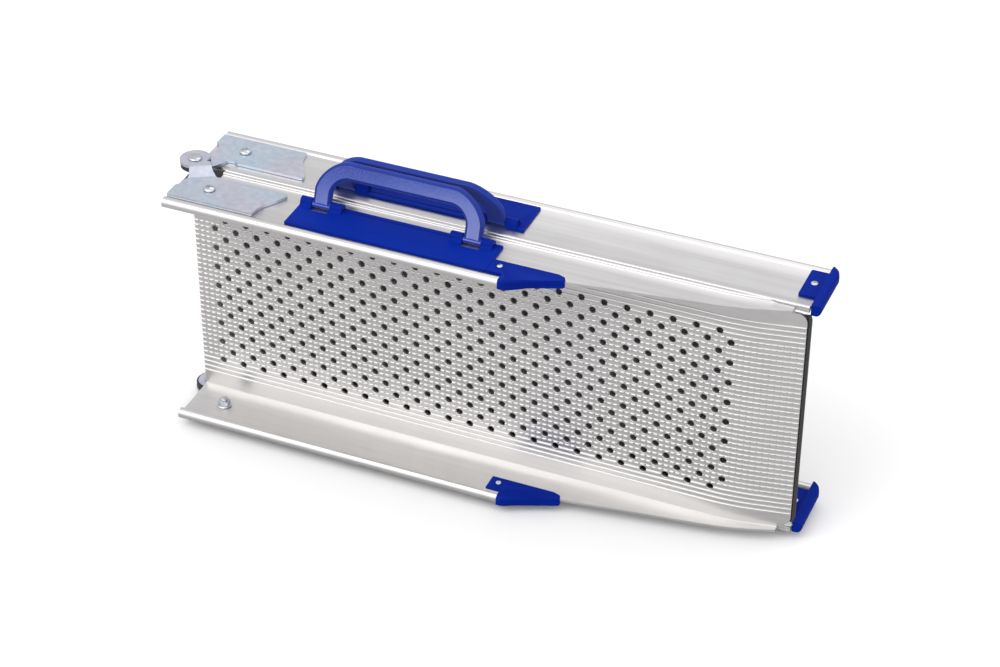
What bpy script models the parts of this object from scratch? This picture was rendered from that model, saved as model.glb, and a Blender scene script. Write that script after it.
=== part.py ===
"""Folding portable wheelchair ramp, folded and standing on its long edge.

Two aluminium channels are hinged end to end.  Folded, they lie underside to
underside with the kerbs pointing outward; the carrying handles are on top.

Frame: the origin is under the middle of the folded ramp, at its lowest point.
+X runs along the ramp from the hinge to the lip, the upper (landing) half is on
the -Y side and the lower (ground) half on the +Y side, and +Z is up.  Side "a"
is the top side (handles), side "b" the bottom side.

Sizes are in millimetres, in each half's own coordinates: x is counted from the
fold axis, rise from the underside plane towards the kerb's edge, and z from the
middle line.  to_world() turns them into the frame.
"""
import bpy
import bmesh
from itertools import count
from math import pi, sin, cos, asin, radians, degrees
from mathutils import Vector, Matrix

MM = 0.001                    # metres in a millimetre
GAP = 0.3                     # gap between resting pieces
HALVES = ("upper", "lower")
SIDES = (("a", 1), ("b", -1))     # tag of a side and the sign of its z

# ------------------------------------------------------------------ overall sizes
HINGE_END_X = 0.3             # hinge end of both channels
LIP_X = 549.5                 # end of the landing lip
LOW_X = 550.0                 # end of the lower half's side walls
TOE_X = 521.0                 # end of the lower half's deck
END_CAP_X = 558.8             # far end of the lower half's end caps
EAR_R = 13.5                  # outer ear of the hinge, round the fold axis
PIVOT_TOP = 123.5             # top of the pivot rivet's dome, the outermost z
MIDDLE_X = (END_CAP_X - EAR_R) / 2    # middle of the folded ramp's length
MIDDLE_HEIGHT = PIVOT_TOP     # height of the middle line above the lowest point

# ------------------------------------------------------------------ channel sizes
DECK_RISE = 9.5               # running surface
DECK_T = 2.5                  # deck thickness
WALL_IN = 111.0               # z of a side wall's inner face
WEB_OUT = 113.3               # z of the outer face in the wall's recess
SEAT_Z = WEB_OUT + GAP        # z where plates and bases lie on the wall
EDGE_BEAD_OUT = 115.6         # z of the outermost flat of the underside edge's bead
EDGE_BEAD_RISE = 4.6          # top of that bead
KERB_BEAD_RISE, KERB_BEAD_Z, KERB_BEAD_R = 58.0, 110.9, 4.6
PANEL_LO = 13.5 + 0.4         # pieces in the wall's recess reach from here
PANEL_HI = 53.2 - GAP         # to here

BEND_X0, BEND_X1, BEND_SLOPE = 480.0, 520.0, 0.19     # deck bend, slope past it
BEND_STATIONS = [BEND_X0 + (BEND_X1 - BEND_X0) * i / 5 for i in range(6)]
TAPER_X, TAPER_RISE, TAPER_SLOPE = 357.0, 39.9, 0.1427    # upper half's wall edge
KERB_END_X = 307.0            # the kerb bead ends inside its plastic cap
NOTCH_X = 28.4                # the walls are cut away round the pivot up to here
NOTCH_STEPS = [(108.8, 6.6), (110.95, 9.2), (WEB_OUT + 0.02, 17.8)]   # inner z, rise

# ------------------------------------------------------------------ hinge sizes
FLAT_EAR_R = 11.5             # flat ear of the lower half's plates
PIN_R, PIN_BORE_R = 4.0, 4.08
PLATE_T = 2.5
PLATE_OUT = SEAT_Z + PLATE_T
WASHER_IN = PLATE_OUT + GAP   # black washer between the two ears
WASHER_OUT = WASHER_IN + 2.0
WASHER_R = 13.1
SKIRT_R, SKIRT_Z = 11.8, 114.3    # bore and inner end of its skirt round the flat ear
EAR_IN = WASHER_OUT + GAP     # joggled ear of the upper half's plates
EAR_OUT = EAR_IN + PLATE_T
JOG_START, JOG_END = 13.4, 22.9   # the joggle, as distances from the pivot
JOG_DIR = (0.5, 0.8660)       # and its direction in (x, rise)
BOLT_X, BOLT_RISE, BOLT_R, BOLT_HOLE_R = 31.0, 33.0, 3.0, 3.3
RIVET_R, RIVET_HOLE_R = 2.0, 2.3

# ------------------------------------------------------------------ handle sizes
HANDLE_X = 198.5              # middle of the handle along X
HANDLE_SHIFT = {"upper": 0.0, "lower": 6.0}   # and its offset on each half
HANDLE_RISE, HANDLE_Z = 18.5, 117.2           # handle axis
HANDLE_LEAN = 20.0            # the handles lean towards each other, degrees
HANDLE_T = 6.4                # handle thickness
ARCH_OUT, ARCH_IN = 41.0, 25.5    # outer and inner top of the arch over the axis
ARCH_OUT_R, ARCH_IN_R = 28.0, 15.0    # and the radii of its corners
LEG_OUT, LEG_IN = 76.7, 60.7  # faces of a leg, from the handle's middle
LEGS = [(HANDLE_X - LEG_OUT, HANDLE_X - LEG_IN), (HANDLE_X + LEG_IN, HANDLE_X + LEG_OUT)]
HANDLE_PIN_R, HANDLE_BORE_R = 2.0, 2.1
PIN_INSET = 0.4               # pin ends inside the outer faces of the knuckles
BASE_X0, BASE_X1, BASE_OUT = 110.6, 292.6, 115.5
KNUCKLES = [(111.0, 121.4), (138.3, 149.3), (247.7, 258.7), (275.6, 286.0)]   # x spans

# ------------------------------------------------------------------ scene set-up
for old in list(bpy.data.objects):
    bpy.data.objects.remove(old, do_unlink=True)
for old in list(bpy.data.collections):
    bpy.data.collections.remove(old)
ramp = bpy.data.collections.new("portable_wheelchair_ramp")
cutters = bpy.data.collections.new("cutters")
bpy.context.scene.collection.children.link(ramp)
bpy.context.scene.collection.children.link(cutters)


def material(name, colour, roughness, metallic):
    mat = bpy.data.materials.new(name)
    mat.use_nodes = True
    shader = mat.node_tree.nodes["Principled BSDF"]
    shader.inputs["Base Color"].default_value = (*colour, 1.0)
    shader.inputs["Roughness"].default_value = roughness
    shader.inputs["Metallic"].default_value = metallic
    return mat


ALUMINIUM = material("satin_aluminium", colour=(0.72, 0.71, 0.70), roughness=0.32, metallic=1.0)
ZINC = material("zinc_plated_steel", colour=(0.62, 0.66, 0.72), roughness=0.35, metallic=1.0)
STEEL = material("bright_steel", colour=(0.75, 0.77, 0.79), roughness=0.22, metallic=1.0)
BLUE = material("blue_plastic", colour=(0.01, 0.04, 0.38), roughness=0.42, metallic=0.0)
BLUE_SOFT = material("blue_handle_plastic", colour=(0.05, 0.09, 0.45), roughness=0.55,
                     metallic=0.0)
BLACK = material("black_plastic", colour=(0.012, 0.013, 0.015), roughness=0.45, metallic=0.0)
RUBBER = material("black_rubber", colour=(0.02, 0.02, 0.02), roughness=0.75, metallic=0.0)


# ------------------------------------------------------------------ outlines and places
def to_world(half, x, rise, z):
    return Vector((x - MIDDLE_X, -rise if half == "upper" else rise, MIDDLE_HEIGHT + z)) * MM


def z_span(side, inner, outer):
    """Two distances from the middle line as ascending z values on one side."""
    return sorted((side * inner, side * outer))


def mirrored(outline, side):
    """An (x, z) outline drawn for side "a", placed on the given side."""
    return [(x, side * z) for x, z in outline]


def arc(centre_x, centre_y, radius, start, end, steps):
    """Points on an arc between two angles in degrees."""
    angles = [radians(start + (end - start) * i / steps) for i in range(steps + 1)]
    return [(centre_x + radius * cos(a), centre_y + radius * sin(a)) for a in angles]


# ------------------------------------------------------------------ mesh primitives
def extrude(points, shift):
    """A closed outline of points in metres, extruded by a shift in millimetres."""
    mesh = bmesh.new()
    face = mesh.faces.new([mesh.verts.new(point) for point in points])
    made = bmesh.ops.extrude_face_region(mesh, geom=[face])
    moved = [item for item in made["geom"] if isinstance(item, bmesh.types.BMVert)]
    bmesh.ops.translate(mesh, verts=moved, vec=Vector(shift) * MM)
    return mesh


def prism_along_z(half, outline, z0, z1):
    """An (x, rise) outline, extruded between two z values."""
    return extrude([to_world(half, x, rise, z0) for x, rise in outline], (0, 0, z1 - z0))


def prism_along_x(half, outline, x0, x1):
    """A (rise, z) section, extruded along X."""
    return extrude([to_world(half, x0, rise, z) for rise, z in outline], (x1 - x0, 0, 0))


def prism_along_rise(half, outline, rise0, rise1):
    """An (x, z) outline, extruded between two rises."""
    sign = -1 if half == "upper" else 1
    return extrude([to_world(half, x, rise0, z) for x, z in outline],
                   (0, sign * (rise1 - rise0), 0))


def box(half, x0, x1, rise0, rise1, z0, z1):
    mesh = bmesh.new()
    low, high = to_world(half, x0, rise0, z0), to_world(half, x1, rise1, z1)
    size = high - low
    scale = Matrix.Diagonal((abs(size.x), abs(size.y), abs(size.z), 1))
    bmesh.ops.create_cube(mesh, size=1.0, matrix=Matrix.Translation((low + high) / 2) @ scale)
    return mesh


def disc(centre, radius, length, segments, axis="Z"):
    """A cylinder centred on a world point, along world Z or X."""
    mesh = bmesh.new()
    turn = Matrix.Rotation(pi / 2, 4, 'Y') if axis == "X" else Matrix.Identity(4)
    bmesh.ops.create_cone(mesh, cap_ends=True, segments=segments, radius1=radius * MM,
                          radius2=radius * MM, depth=length * MM,
                          matrix=Matrix.Translation(centre) @ turn)
    return mesh


# ------------------------------------------------------------------ objects
def link_mesh(name, mesh, collection, origin=None):
    """An object from a mesh.  Given an origin, the mesh is local to it; otherwise
    the mesh is in the frame and the origin goes to the middle of its box."""
    bmesh.ops.remove_doubles(mesh, verts=mesh.verts, dist=1e-7)
    bmesh.ops.recalc_face_normals(mesh, faces=mesh.faces)
    if origin is None:
        places = [[vert.co[i] for vert in mesh.verts] for i in range(3)]
        origin = Vector([(min(values) + max(values)) / 2 for values in places])
        bmesh.ops.translate(mesh, verts=mesh.verts, vec=-origin)
    data = bpy.data.meshes.new(name)
    mesh.to_mesh(data)
    mesh.free()
    obj = bpy.data.objects.new(name, data)
    obj.location = origin
    collection.objects.link(obj)
    return obj


def add_piece(name, mesh, mat, origin=None):
    piece = link_mesh(name, mesh, ramp, origin)
    piece.data.materials.append(mat)
    piece.data.shade_smooth()
    piece.data.set_sharp_from_angle(angle=radians(35.0))
    return piece


def turned(name, profile, origin, mat, steps, side):
    """A turned piece: a half profile of (r, z) spun about the local Z."""
    mesh = bmesh.new()
    verts = [mesh.verts.new(Vector((r, 0, z * side)) * MM) for r, z in profile]
    edges = [mesh.edges.new(pair) for pair in zip(verts, verts[1:])]
    bmesh.ops.spin(mesh, geom=verts + edges, cent=(0, 0, 0), axis=(0, 0, 1),
                   angle=2 * pi, steps=steps, use_merge=True)
    bmesh.ops.remove_doubles(mesh, verts=mesh.verts, dist=1e-6)
    return add_piece(name, mesh, mat, origin)


cut_numbers = count(1)


def boolean(piece, mesh, operation='DIFFERENCE'):
    """Combine a helper shape with a piece through an exact Boolean modifier."""
    number = next(cut_numbers)
    helper = link_mesh("cut_%02d_%s" % (number, piece.name), mesh, cutters)
    helper.hide_render = True
    helper.display_type = 'WIRE'
    modifier = piece.modifiers.new("bool_%02d" % number, 'BOOLEAN')
    modifier.operation = operation
    modifier.solver = 'EXACT'
    modifier.object = helper


def bore(piece, half, x, rise, z, radius, length, segments):
    """A round hole along Z, centred on the given place."""
    boolean(piece, disc(to_world(half, x, rise, z), radius, length, segments))


# ------------------------------------------------------------------ the channels
def bend(x):
    """How far the deck has dropped towards the underside at x."""
    if x <= BEND_X0:
        return 0.0
    if x <= BEND_X1:
        return BEND_SLOPE * (x - BEND_X0) ** 2 / (2 * (BEND_X1 - BEND_X0))
    return BEND_SLOPE * (BEND_X1 - BEND_X0) / 2 + BEND_SLOPE * (x - BEND_X1)


def deck_top(x):
    return DECK_RISE - bend(x)


def deck_under(x):
    return DECK_RISE - DECK_T - bend(x)


def taper_rise(x):
    """Edge of the upper half's tapered wall, before the bend."""
    return TAPER_RISE - TAPER_SLOPE * (x - TAPER_X)


def channel_section():
    """The whole channel as (rise, z) points."""
    under = DECK_RISE - DECK_T
    bead = EDGE_BEAD_RISE
    # from the deck's underside down the wall's inner face to the underside edge
    wall = [(under, 109.6), (under - 1.2, WALL_IN), (bead, WALL_IN), (bead - 0.5, 110.1),
            (bead - 1.6, 109.7), (1.0, 109.7), (GAP, 110.4)]
    # round the edge bead and up to the recess
    wall += [(GAP, 114.9), (0.9, EDGE_BEAD_OUT - 0.05), (2.4, EDGE_BEAD_OUT), (3.7, 115.3),
             (bead - 0.1, 114.6), (bead, 113.9), (6.2, 113.95), (9.4, 114.25),
             (12.4, 113.95), (14.0, WEB_OUT)]
    # round the kerb bead and back to the running surface
    start = 180 - degrees(asin((WEB_OUT - KERB_BEAD_Z) / KERB_BEAD_R))
    wall += arc(KERB_BEAD_RISE, KERB_BEAD_Z, KERB_BEAD_R, start, -178.8, 18)
    wall += [(DECK_RISE + 1.4, WALL_IN), (DECK_RISE, 109.6)]
    return wall + [(rise, -z) for rise, z in reversed(wall)]


def upper_channel():
    """The lip is bent down to the underside plane and the kerbs taper towards it."""
    mesh = prism_along_x("upper", channel_section(), HINGE_END_X, LIP_X)
    for x in BEND_STATIONS:
        bmesh.ops.bisect_plane(mesh, geom=[*mesh.verts, *mesh.edges, *mesh.faces],
                               plane_co=((x - MIDDLE_X) * MM, 0, 0), plane_no=(1, 0, 0),
                               dist=1e-7)
    for vert in mesh.verts:
        vert.co.y += bend(vert.co.x / MM + MIDDLE_X) * MM
    channel = add_piece("upper_channel", mesh, ALUMINIUM)

    # kerb cut: square through the bead, then straight down to the lip
    past_lip = LIP_X + 3
    kerb_cut = [(KERB_END_X, 70), (KERB_END_X, 52.0), (TAPER_X, TAPER_RISE)]
    kerb_cut += [(x, taper_rise(x) - bend(x)) for x in [*BEND_STATIONS, past_lip]]
    kerb_cut += [(past_lip, 70)]
    boolean(channel, prism_along_z("upper", kerb_cut, -125, 125))
    # the walls' underside stays on the underside plane past the bend
    for _, side in SIDES:
        boolean(channel, box("upper", BEND_X0 - 6, LIP_X + 5, -14, GAP,
                             side * 108.4, side * 122))
    # rounded corners of the lip, and the walls' ends cut back with them
    radius, centre_z = 9.0, 99.4
    corner = [(LIP_X + 2, centre_z), (LIP_X + 2, 125), (LIP_X - 13.0, 125),
              (LIP_X - 10.5, 108.4)]
    corner += arc(LIP_X - radius, centre_z, radius, 84, 0, 6)[1:]
    for _, side in SIDES:
        boolean(channel, prism_along_rise("upper", mirrored(corner, side), -8, 20))
    return channel


def lower_channel():
    """The walls stay full length; the deck ends in a short bent toe."""
    mesh = prism_along_x("lower", channel_section(), HINGE_END_X, LOW_X)
    channel = add_piece("lower_channel", mesh, ALUMINIUM)
    boolean(channel, box("lower", BEND_X0 + 6, LOW_X + 4, 5.6, 12.0, -110.99, 110.99))
    root_x = BEND_X0 - 8
    stations = [*BEND_STATIONS, TOE_X]
    toe = [(root_x, deck_under(root_x)), (root_x, deck_top(root_x))]
    toe += [(x, deck_top(x)) for x in stations]
    toe += [(x, deck_under(x)) for x in reversed(stations)]
    boolean(channel, prism_along_z("lower", toe, -108.4, 108.4), 'UNION')
    return channel


def cut_hinge_corners(channel, half):
    """Stepped notches round the pivot, and the holes of the plate bolts."""
    for _, side in SIDES:
        for inner, top in NOTCH_STEPS:
            boolean(channel, box(half, -5, NOTCH_X, -3, top, side * inner, side * 122))
        bore(channel, half, BOLT_X, BOLT_RISE, side * 112, BOLT_HOLE_R, 16, 24)


# ------------------------------------------------------------------ plastic caps
CAP_SLOT = (WALL_IN - GAP, SEAT_Z)    # z span of the slot over the wall
CAP_LEAF_IN = 108.3                   # inner face of both caps' leaves

# Kerb cap, (x, rise): the leaf over the wall, and the nose past the kerb's end.
KERB_CAP_LEAF = [
    (293.0, 35.5), (350.0, 35.5), (354.6, 36.9), (356.8, 40.0), (356.6, 42.6),
    (350.0, 45.4), (340.0, 49.4), (330.0, 53.8), (322.0, 58.0), (314.0, 62.0),
    (310.0, 63.3), (KERB_END_X + GAP, 63.3), (KERB_END_X + GAP, 53.0), (293.0, 53.0)]
KERB_CAP_NOSE = [
    (KERB_END_X + GAP, 52.0), (KERB_END_X + GAP, 63.6), (310.0, 63.6), (314.0, 62.1),
    (322.0, 58.1), (330.0, 53.9), (340.0, 49.5), (350.0, 45.5), (356.7, 42.7),
    (356.9, 40.0), (355.0, 38.0), (351.0, 38.4)]
# Cut from the nose's inner side, (x, z).
KERB_CAP_THINNING = [
    (313, 100), (313, 105.9), (324, 106.2), (335, 107.4), (346, 109.2), (360, 110.4),
    (360, 100)]
# End cap, (x, rise): the leaf over the wall, and the block past its end.
END_CAP_LEAF = [(535.5, 15.4), (552.5, 15.4), (552.5, 53.0), (535.5, 53.0)]
END_CAP_BLOCK = [
    (LOW_X + GAP, 4.2), (551.6, 3.4), (555.4, 3.4), (END_CAP_X, 6.8), (END_CAP_X, 51.5),
    (558.2, 54.8), (556.9, 57.6), (555.2, 60.2), (553.2, 62.2), (551.4, 63.4),
    (LOW_X + GAP, 63.6)]


def rivet_cap(name, cap, channel, half, x, rise, side, head_z, head_r):
    """Holes through cap and wall, and a blind rivet: domed outside, flat inside."""
    for piece, length in ((cap, 14), (channel, 8)):
        bore(piece, half, x, rise, side * 112, RIVET_HOLE_R, length, 20)
    inner_z, dome = 107.9, 1.1
    profile = [(0, inner_z - 0.9), (head_r * 0.8, inner_z - 0.9),
               (head_r * 0.9, inner_z - 0.3), (head_r * 0.9, inner_z), (RIVET_R, inner_z),
               (RIVET_R, head_z), (head_r, head_z), (head_r * 0.93, head_z + dome * 0.45),
               (head_r * 0.6, head_z + dome * 0.9), (0, head_z + dome)]
    turned(name, profile, to_world(half, x, rise, 0), STEEL, 16, side)


def kerb_cap(tag, side, channel):
    leaf = prism_along_z("upper", KERB_CAP_LEAF, *z_span(side, CAP_LEAF_IN, 115.9))
    cap = add_piece("kerb_cap_" + tag, leaf, BLUE)
    nose = prism_along_z("upper", KERB_CAP_NOSE, *z_span(side, 106.0, 116.2))
    boolean(cap, nose, 'UNION')
    boolean(cap, prism_along_rise("upper", mirrored(KERB_CAP_THINNING, side), 30, 70))
    # slot over the tapered wall
    clearance = 0.35
    slot_x = KERB_END_X + GAP - 0.1
    slot = [(285, 30), (365, 30), (365, taper_rise(365) + clearance),
            (TAPER_X, TAPER_RISE + clearance), (slot_x, 52.4), (slot_x, 54.5), (285, 54.5)]
    boolean(cap, prism_along_z("upper", slot, *z_span(side, *CAP_SLOT)))
    rivet_cap("kerb_cap_rivet_" + tag, cap, channel, "upper", 301.5, 43.5, side,
              head_z=116.3, head_r=3.3)


def end_cap(tag, side, channel):
    leaf = prism_along_z("lower", END_CAP_LEAF, *z_span(side, CAP_LEAF_IN, 115.7))
    cap = add_piece("end_cap_" + tag, leaf, BLUE)
    block = prism_along_z("lower", END_CAP_BLOCK, *z_span(side, 105.8, 116.0))
    boolean(cap, block, 'UNION')
    boolean(cap, box("lower", 530, LOW_X + GAP, 10, 57, *z_span(side, *CAP_SLOT)))
    rivet_cap("end_cap_rivet_" + tag, cap, channel, "lower", 543.5, 34.0, side,
              head_z=116.0, head_r=3.5)


# ------------------------------------------------------------------ lip strip
def lip_strip():
    """An L-shaped rubber edge under the lip and past its end."""
    back, front = 536.0, LIP_X
    back_rise, front_rise = deck_under(back) - GAP, deck_under(front) - GAP
    top = deck_top(front)
    outline = [(back, back_rise), (front + GAP, front_rise), (front + GAP, top - 0.3),
               (front + 2.3, top - 0.8), (front + 2.9, top - 2.0),
               (front + 2.9, front_rise - 1.6), (front + 1.6, front_rise - 2.3),
               (back + 0.6, back_rise - 2.2), (back, back_rise - 1.6)]
    add_piece("lip_rubber_strip", prism_along_z("upper", outline, -98.5, 98.5), RUBBER)


# ------------------------------------------------------------------ hinge
# Plate outlines in (x, rise), with the pivot at (0, 0): the ear's arcs, one side
# of the neck, the tail that both plates share, and the neck's other side.
PLATE_TAIL = [
    (HINGE_END_X, 38.6), (HINGE_END_X, PANEL_HI), (80.0, PANEL_HI), (81.0, 46.0),
    (83.0, 39.0), (87.0, 32.2), (91.4, 25.6), (94.4, 19.6), (95.4, PANEL_LO),
    (33.0, PANEL_LO)]
PLATE_OUTLINES = {
    "upper": (
        arc(0, 0, EAR_R, -40, -180, 14) + arc(0, 0, EAR_R, -180, -272, 10)[1:]
        + [(2.6, 15.4), (4.2, 19.0), (5.1, 23.6), (4.7, 28.2), (3.4, 32.0), (1.6, 35.6)]
        + PLATE_TAIL
        + [(30.4, 13.6), (27.6, 13.2), (24.9, 11.6), (21.2, 8.8), (18.6, 5.8), (15.6, 1.6),
           (12.8, -3.6)]),
    "lower": (
        arc(0, 0, FLAT_EAR_R, -46, -180, 14) + arc(0, 0, FLAT_EAR_R, -180, -250, 7)[1:]
        + [(-1.0, 13.4), (2.4, 16.8), (5.2, 20.8), (6.2, 25.6), (5.8, 31.4), (3.0, 36.0)]
        + PLATE_TAIL
        + [(30.0, 15.6), (26.4, 15.4), (23.2, 13.4), (21.4, 9.4), (18.4, 4.6), (14.4, -0.6),
           (11.0, -5.2)]),
}


def joggled_sheet(half, side):
    """Sheet bent twice across the neck so that its ear stands outside the plate."""
    mesh = bmesh.new()
    far, near, inner_shift = 110, -40, 0.4
    # distance from the pivot along the joggle's direction, and z
    section = [(far, SEAT_Z), (far, PLATE_OUT), (JOG_END, PLATE_OUT), (JOG_START, EAR_OUT),
               (near, EAR_OUT), (near, EAR_IN), (JOG_START + inner_shift, EAR_IN),
               (JOG_END + inner_shift, SEAT_Z)]
    dir_x, dir_rise = JOG_DIR
    first, last = [
        [mesh.verts.new(to_world(half, along * dir_x + across * dir_rise,
                                 along * dir_rise - across * dir_x, side * z))
         for along, z in section]
        for across in (-150, 150)]
    mesh.faces.new(first)
    mesh.faces.new(list(reversed(last)))
    for i in range(len(section)):
        k = (i + 1) % len(section)
        mesh.faces.new((first[i], first[k], last[k], last[i]))
    return mesh


def hinge_plate(half, tag, side):
    """Joggled plate on the upper half, flat plate on the lower, trimmed to outline."""
    if half == "upper":
        sheet = joggled_sheet(half, side)
    else:
        sheet = box(half, -20, 110, -20, 60, *z_span(side, SEAT_Z, PLATE_OUT))
    plate = add_piece("hinge_plate_%s_%s" % (half, tag), sheet, ZINC)
    outline = prism_along_z(half, PLATE_OUTLINES[half], *z_span(side, 100, 130))
    boolean(plate, outline, 'INTERSECT')
    bore(plate, half, 0, 0, side * 117, PIN_BORE_R, 30, 32)
    bore(plate, half, BOLT_X, BOLT_RISE, side * 115, BOLT_HOLE_R, 14, 24)


def pivot_rivet(tag, side):
    """Domed head outside, flat head inside."""
    head_r, head_z = 6.0, EAR_OUT + GAP
    profile = [(0, 111.2), (5.4, 111.2), (head_r, 111.8), (head_r, WEB_OUT),
               (PIN_R, WEB_OUT), (PIN_R, head_z), (head_r, head_z), (5.8, 122.4),
               (4.6, 123.1), (2.6, 123.45), (0, PIVOT_TOP)]
    turned("pivot_rivet_" + tag, profile, to_world("upper", 0, 0, 0), STEEL, 24, side)


def pivot_washer(tag, side):
    bevel = 0.3
    profile = [(PIN_BORE_R, WASHER_IN), (SKIRT_R, WASHER_IN), (SKIRT_R, SKIRT_Z),
               (WASHER_R, SKIRT_Z), (WASHER_R, WASHER_OUT - bevel),
               (WASHER_R - bevel, WASHER_OUT), (PIN_BORE_R, WASHER_OUT),
               (PIN_BORE_R, WASHER_IN)]
    washer = turned("pivot_washer_" + tag, profile, to_world("lower", 0, 0, 0), BLACK, 32, side)
    # the skirt is open where the lower plate's neck leaves the ear
    angles = [radians(angle) for angle in (-52, 0, 40, 80, 117)]
    opening = [(0, 0)] + [(40 * cos(angle), 40 * sin(angle)) for angle in angles]
    boolean(washer, prism_along_z("lower", opening, *z_span(side, 112, WASHER_IN)))


def plate_bolt(half, tag, side):
    seat = PLATE_OUT + GAP
    profile = [(0, 103.4), (BOLT_R, 103.4), (BOLT_R, seat), (5.3, seat), (5.3, seat + 0.8),
               (4.7, seat + 2.0), (3.4, seat + 2.8), (2.4, seat + 3.0), (2.2, seat + 1.5),
               (0, seat + 1.3)]
    turned("plate_bolt_%s_%s" % (half, tag), profile, to_world(half, BOLT_X, BOLT_RISE, 0),
           STEEL, 20, side)


def plate_nut(half, tag, side):
    """Flanged hexagon nut on the wall's inner face."""
    flange_t = 1.4
    flange_out = WALL_IN - GAP
    flange_in = flange_out - flange_t

    def centre(z):
        return to_world(half, BOLT_X, BOLT_RISE, side * z)

    flange = disc(centre((flange_out + flange_in) / 2), 6.6, flange_t, 24)
    nut = add_piece("plate_nut_%s_%s" % (half, tag), flange, STEEL)
    boolean(nut, disc(centre(flange_in - 1.9), 5.5, 5.4, 6), 'UNION')
    boolean(nut, disc(centre(108), BOLT_R + 0.15, 20, 24))


# ------------------------------------------------------------------ handles
def handle_bore(half):
    """Cutter along the handle's axis."""
    centre = to_world(half, HANDLE_X + HANDLE_SHIFT[half], HANDLE_RISE, HANDLE_Z)
    return disc(centre, HANDLE_BORE_R, 240, 16, "X")


def handle_base(half):
    """Flat base in the wall's recess, with knuckles for the handle's pins."""
    shift = HANDLE_SHIFT[half]
    x_lo, x_hi = BASE_X0 + shift, BASE_X1 + shift
    outline = [(x_lo, PANEL_LO), (x_hi, PANEL_LO), (x_hi, PANEL_HI), (x_lo, PANEL_HI)]
    base = add_piece("handle_base_" + half,
                     prism_along_z(half, outline, SEAT_Z, BASE_OUT), BLUE)
    foot = PANEL_LO + 0.05
    # a knuckle's section, (rise, z)
    hump = [(HANDLE_RISE + 6.8, SEAT_Z), (HANDLE_RISE + 6.4, BASE_OUT + 0.3),
            (HANDLE_RISE + 4.4, HANDLE_Z + 1.4)]
    hump += arc(HANDLE_RISE, HANDLE_Z, 4.2, 30, 150, 8)
    hump += [(HANDLE_RISE - 4.4, HANDLE_Z + 1.0), (foot, BASE_OUT), (foot, SEAT_Z)]
    for x0, x1 in KNUCKLES:
        boolean(base, prism_along_x(half, hump, x0 + shift, x1 + shift), 'UNION')
    # windows under the handle's legs, between each pair of knuckles
    for first, second in (KNUCKLES[:2], KNUCKLES[2:]):
        boolean(base, box(half, first[1] + shift, second[0] + shift, 8, 27.5, 110, 119))
    boolean(base, handle_bore(half))


def handle_outline():
    """The arch: along X from its middle, and away from the axis."""
    outer = [(LEG_OUT, 0), (LEG_OUT, ARCH_OUT - ARCH_OUT_R + 1)]
    outer += arc(LEG_OUT - ARCH_OUT_R, ARCH_OUT - ARCH_OUT_R, ARCH_OUT_R, 6, 90, 8)
    inner = arc(LEG_IN - ARCH_IN_R, ARCH_IN - ARCH_IN_R, ARCH_IN_R, 90, 6, 6)
    inner += [(LEG_IN, ARCH_IN - ARCH_IN_R + 1), (LEG_IN, 0)]
    outer_left = [(-x, reach) for x, reach in reversed(outer)]
    inner_left = [(-x, reach) for x, reach in reversed(inner)]
    return outer + outer_left + inner_left + inner


def handle(half):
    """Carrying handle, origin on its hinge axis, leaning towards the other one."""
    shift = HANDLE_SHIFT[half]
    points = [Vector((x, -HANDLE_T / 2, reach)) * MM for x, reach in handle_outline()]
    piece = add_piece("handle_" + half, extrude(points, (0, HANDLE_T, 0)), BLUE_SOFT,
                      origin=to_world(half, HANDLE_X + shift, HANDLE_RISE, HANDLE_Z))
    lean = -HANDLE_LEAN if half == "upper" else HANDLE_LEAN
    piece.rotation_euler = (radians(lean), 0, 0)
    for x0, x1 in LEGS:
        centre = to_world(half, (x0 + x1) / 2 + shift, HANDLE_RISE, HANDLE_Z)
        boolean(piece, disc(centre, HANDLE_T / 2 + 0.25, x1 - x0, 24, "X"), 'UNION')
    boolean(piece, handle_bore(half))


def handle_pins(half):
    """A pin through each pair of knuckles."""
    for number, (first, second) in enumerate((KNUCKLES[:2], KNUCKLES[2:]), start=1):
        x0, x1 = first[0] + PIN_INSET, second[1] - PIN_INSET
        centre = to_world(half, (x0 + x1) / 2 + HANDLE_SHIFT[half], HANDLE_RISE, HANDLE_Z)
        add_piece("handle_pin_%s_%d" % (half, number),
                  disc(centre, HANDLE_PIN_R, x1 - x0, 16, "X"), STEEL)


# ------------------------------------------------------------------ fold axis
def fold_axis():
    """Everything on the lower half turns about this empty on the pivots' axis."""
    axis = bpy.data.objects.new("fold_axis", None)
    axis.location = to_world("upper", 0, 0, 0)
    axis.empty_display_size = 0.03
    ramp.objects.link(axis)
    for obj in [*ramp.objects, *cutters.objects]:
        if any(word in obj.name for word in ("lower", "end_cap", "washer")):
            obj.parent = axis
            obj.matrix_parent_inverse = Matrix.Translation(axis.location).inverted()


# ------------------------------------------------------------------ assembly
# Helpers and modifiers are numbered in the order of these calls.
channels = {"upper": upper_channel(), "lower": lower_channel()}
for half_name in HALVES:
    cut_hinge_corners(channels[half_name], half_name)
for side_tag, side_sign in SIDES:
    kerb_cap(side_tag, side_sign, channels["upper"])
for side_tag, side_sign in SIDES:
    end_cap(side_tag, side_sign, channels["lower"])
lip_strip()
for side_tag, side_sign in SIDES:
    for half_name in HALVES:
        hinge_plate(half_name, side_tag, side_sign)
    pivot_rivet(side_tag, side_sign)
    pivot_washer(side_tag, side_sign)
    for half_name in HALVES:
        plate_bolt(half_name, side_tag, side_sign)
        plate_nut(half_name, side_tag, side_sign)
for half_name in HALVES:
    handle_base(half_name)
    handle(half_name)
    handle_pins(half_name)
fold_axis()
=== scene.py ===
import bpy
import bmesh
from math import pi, sin, cos, radians, degrees, asin, acos, sqrt
from mathutils import Vector, Matrix


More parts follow.
